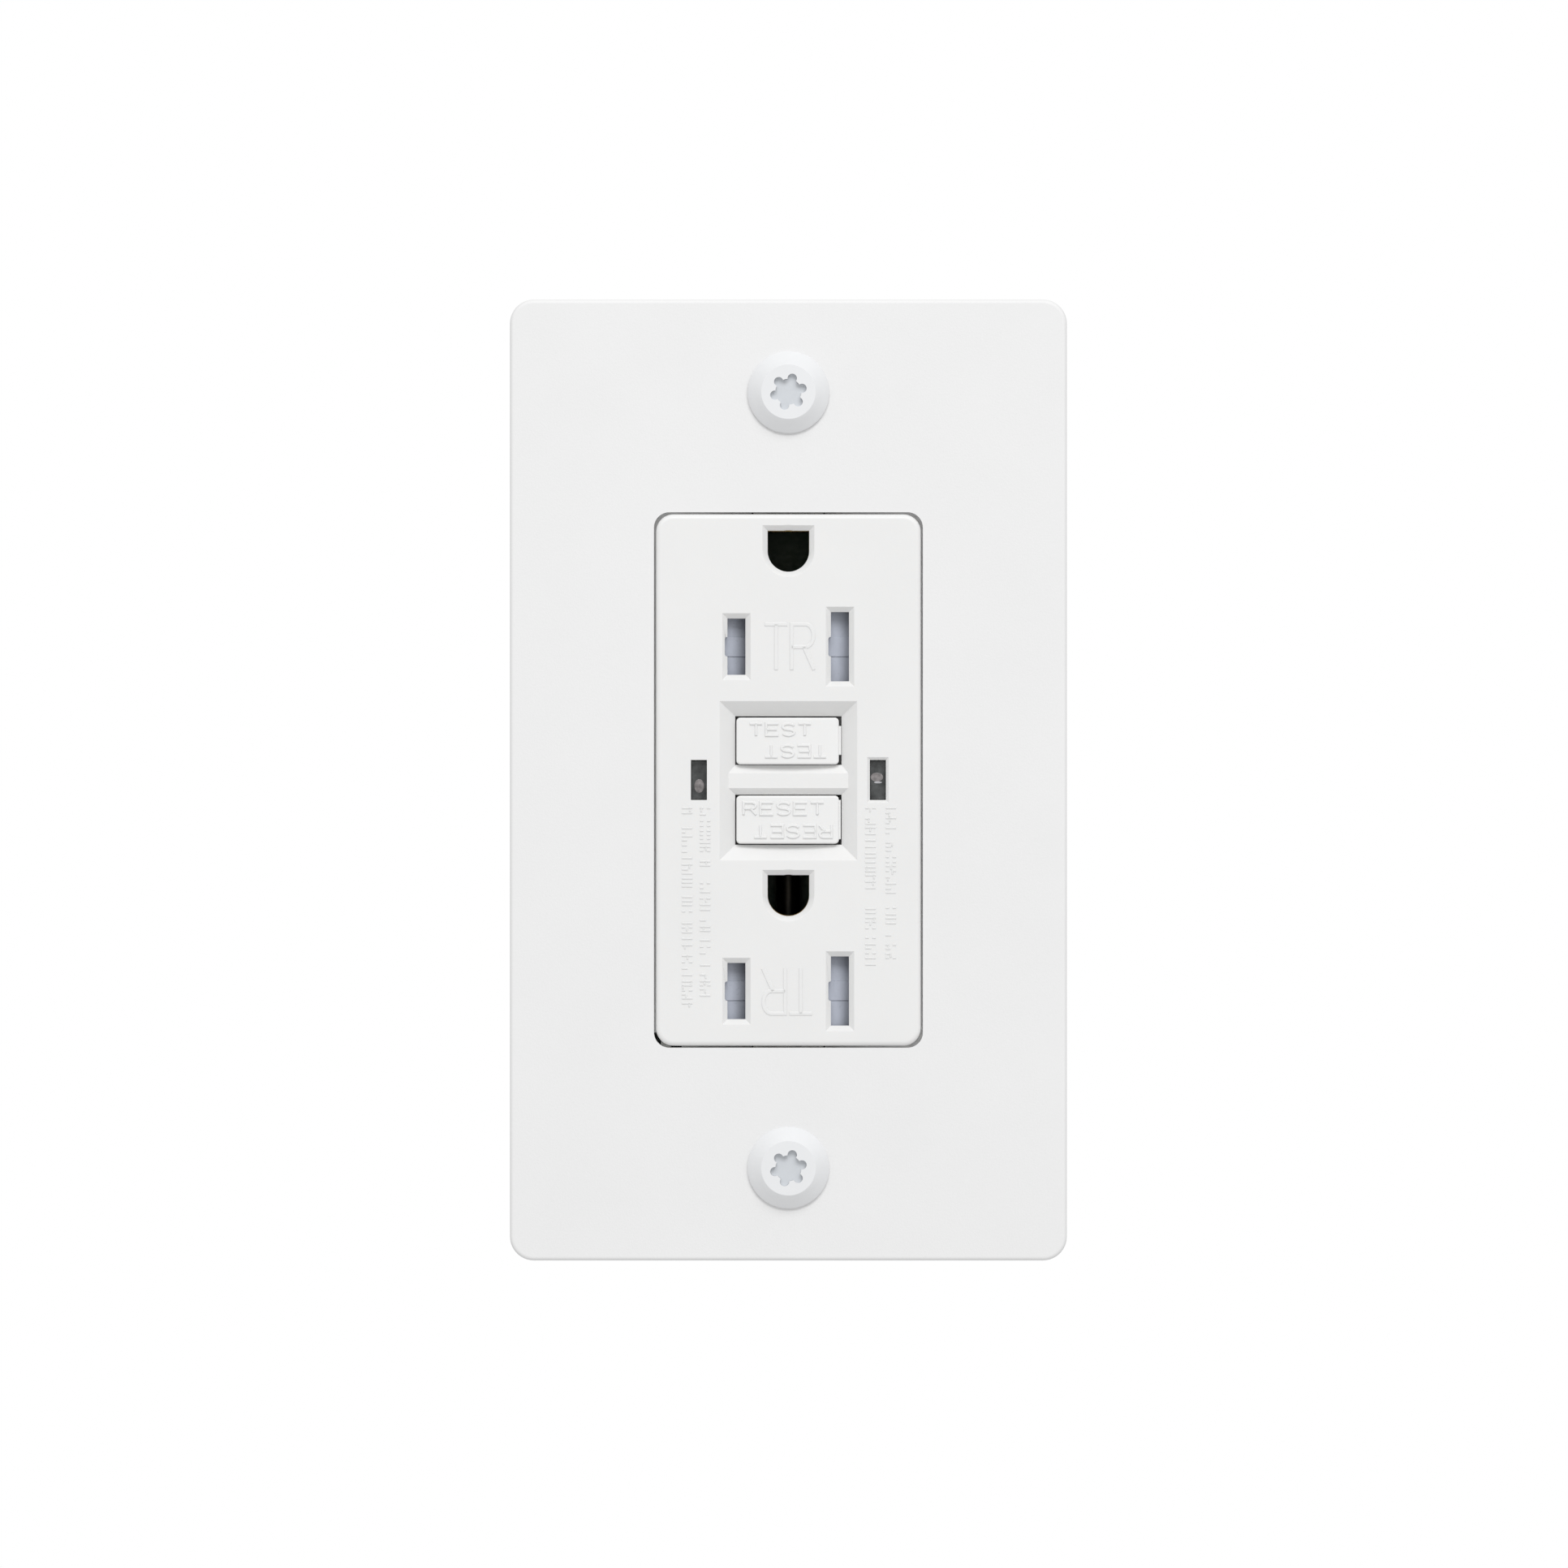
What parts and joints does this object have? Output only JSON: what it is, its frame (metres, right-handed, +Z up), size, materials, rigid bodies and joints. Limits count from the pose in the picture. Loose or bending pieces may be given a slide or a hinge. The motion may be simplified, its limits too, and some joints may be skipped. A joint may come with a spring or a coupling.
{
  "type": "gfci outlet",
  "caption": "Duplex tamper-resistant outlet with test and reset buttons, indicator windows, wire clamp terminals and a one-gang wall plate.",
  "frame": {"origin": "middle of the wall plate's back rim, on the wall surface", "axes": "+X right and +Z up as seen from the room, -Y out of the wall into the room, +Y into the wall"},
  "size_m": [0.0696, 0.0366, 0.12],
  "materials": {
    "plate_paint": "matt white powder coat",
    "screw_paint": "satin white paint",
    "white_plastic": "fine satin moulding",
    "button_plastic": "fine satin moulding",
    "shutter_plastic": "translucent blue-grey moulding",
    "clear_plastic": "clear moulding",
    "black_plastic": "fine matt moulding",
    "frame_plastic": "fine matt moulding",
    "zinc_steel": "bright zinc plating",
    "spring_steel": "drawn wire",
    "brass": "stamped strip",
    "nickel": "dull nickel plating",
    "silver": "contact silver",
    "copper": "enamelled winding wire",
    "green_steel": "green passivated steel",
    "board": "solder mask on laminate",
    "blue_ceramic": "coated disc",
    "yellow_plastic": "moulded case",
    "can": "sleeved can",
    "resistor_body": "lacquered ceramic",
    "led_body": "tinted lens",
    "natural_plastic": "natural moulding",
    "fibre": "pressed fibre"
  },
  "bodies": {
    "device": {"wall_plate": "plate_paint", "plate_screws": "screw_paint", "front_cover": "white_plastic", "mounting_strap": "zinc_steel", "ground_contacts": "brass", "box_screws": "zinc_steel", "screw_retainers": "fibre", "shutter_trays": "frame_plastic", "upper_shutter_spring": "spring_steel", "lower_shutter_spring": "spring_steel", "reset_spring": "spring_steel", "light_pipes": "clear_plastic", "middle_frame": "frame_plastic", "hot_busbar": "brass", "neutral_busbar": "nickel", "fixed_contacts": "silver", "line_hot_terminal": "brass", "line_neutral_terminal": "nickel", "test_pins": "nickel", "toroid_bobbin": "natural_plastic", "sensing_core": "copper", "grounded_neutral_core": "copper", "solenoid_bobbin": "natural_plastic", "solenoid_coil": "copper", "solenoid_frame": "zinc_steel", "plunger_spring": "spring_steel", "circuit_board": "board", "surge_varistor": "blue_ceramic", "film_capacitor": "yellow_plastic", "electrolytic_capacitor": "can", "controller_chip": "black_plastic", "trigger_thyristor": "black_plastic", "resistors": "resistor_body", "indicator_leds": "led_body", "rear_housing": "black_plastic", "housing_screws": "zinc_steel"},
    "test_key": {"test_button": "button_plastic"},
    "test_contact_blade": {"test_blade": "brass"},
    "reset_key": {"reset_button": "button_plastic", "reset_pin": "zinc_steel"},
    "lifter_block": {"lifter": "black_plastic"},
    "hot_arm": {"hot_contact_arm": "brass", "hot_arm_rivet": "silver"},
    "neutral_arm": {"neutral_contact_arm": "brass", "neutral_arm_rivet": "silver"},
    "latch": {"latch_plate": "zinc_steel"},
    "plunger": {"solenoid_plunger": "zinc_steel"},
    "upper_shutter_slider": {"upper_shutter": "shutter_plastic"},
    "lower_shutter_slider": {"lower_shutter": "shutter_plastic"},
    "line_hot_clamp_set": {"line_hot_screw": "brass", "line_hot_clamp": "brass"},
    "line_neutral_clamp_set": {"line_neutral_screw": "nickel", "line_neutral_clamp": "nickel"},
    "load_hot_clamp_set": {"load_hot_screw": "brass", "load_hot_clamp": "brass"},
    "load_neutral_clamp_set": {"load_neutral_screw": "nickel", "load_neutral_clamp": "nickel"},
    "ground_screw_set": {"ground_screw": "green_steel"}
  },
  "joints": [
    {"name": "test_press", "type": "slide", "parent": "device", "child": "test_key", "axis": [0, 1, 0], "range_m": [0, 0.0015], "stiffness_N_per_m": 600},
    {"name": "test_blade_bend", "type": "hinge", "parent": "device", "child": "test_contact_blade", "pos_m": [-0.0074, 0.00435, 0.00493], "axis": [0, 0, 1], "range_deg": [0, 12.2]},
    {"name": "reset_press", "type": "slide", "parent": "device", "child": "reset_key", "axis": [0, 1, 0], "range_m": [0, 0.0016], "stiffness_N_per_m": 800, "deforming": ["reset_spring"]},
    {"name": "lifter_slide", "type": "slide", "parent": "device", "child": "lifter_block", "axis": [0, 1, 0], "range_m": [0, 0.0016]},
    {"name": "hot_arm_swing", "type": "hinge", "parent": "device", "child": "hot_arm", "pos_m": [-0.0032, 0.0112, 0.0132], "axis": [1, 0, 0], "range_deg": [0, 5.5]},
    {"name": "neutral_arm_swing", "type": "hinge", "parent": "device", "child": "neutral_arm", "pos_m": [0.0032, 0.0112, 0.0132], "axis": [1, 0, 0], "range_deg": [0, 5.5]},
    {"name": "plunger_stroke", "type": "slide", "parent": "device", "child": "plunger", "axis": [0, 0, 1], "range_m": [0, 0.0019], "stiffness_N_per_m": 250, "deforming": ["plunger_spring"]},
    {"name": "latch_slide", "type": "slide", "parent": "lifter_block", "child": "latch", "axis": [0, 0, 1], "range_m": [0, 0.0019]},
    {"name": "upper_shutter_slide", "type": "slide", "parent": "device", "child": "upper_shutter_slider", "axis": [-1, 0, 0], "range_m": [0, 0.0027], "stiffness_N_per_m": 150, "springref_m": -0.0005, "deforming": ["upper_shutter_spring"]},
    {"name": "lower_shutter_slide", "type": "slide", "parent": "device", "child": "lower_shutter_slider", "axis": [-1, 0, 0], "range_m": [0, 0.0027], "stiffness_N_per_m": 150, "springref_m": -0.0005, "deforming": ["lower_shutter_spring"]},
    {"name": "line_hot_clamp_slide", "type": "slide", "parent": "device", "child": "line_hot_clamp_set", "axis": [1, 0, 0], "range_m": [0, 0.0022]},
    {"name": "line_neutral_clamp_slide", "type": "slide", "parent": "device", "child": "line_neutral_clamp_set", "axis": [-1, 0, 0], "range_m": [0, 0.0022]},
    {"name": "load_hot_clamp_slide", "type": "slide", "parent": "device", "child": "load_hot_clamp_set", "axis": [1, 0, 0], "range_m": [0, 0.0022]},
    {"name": "load_neutral_clamp_slide", "type": "slide", "parent": "device", "child": "load_neutral_clamp_set", "axis": [-1, 0, 0], "range_m": [0, 0.0022]},
    {"name": "ground_screw_slide", "type": "slide", "parent": "device", "child": "ground_screw_set", "axis": [1, 0, 0], "range_m": [0, 0.0014]}
  ],
  "couplings": [
    {"joint": "test_blade_bend", "follows": "test_press", "rad_per_m": 137},
    {"joint": "lifter_slide", "follows": "reset_press", "ratio": 1},
    {"joint": "hot_arm_swing", "follows": "reset_press", "rad_per_m": 56.18},
    {"joint": "neutral_arm_swing", "follows": "reset_press", "rad_per_m": 56.18},
    {"joint": "latch_slide", "follows": "plunger_stroke", "ratio": 1}
  ]
}
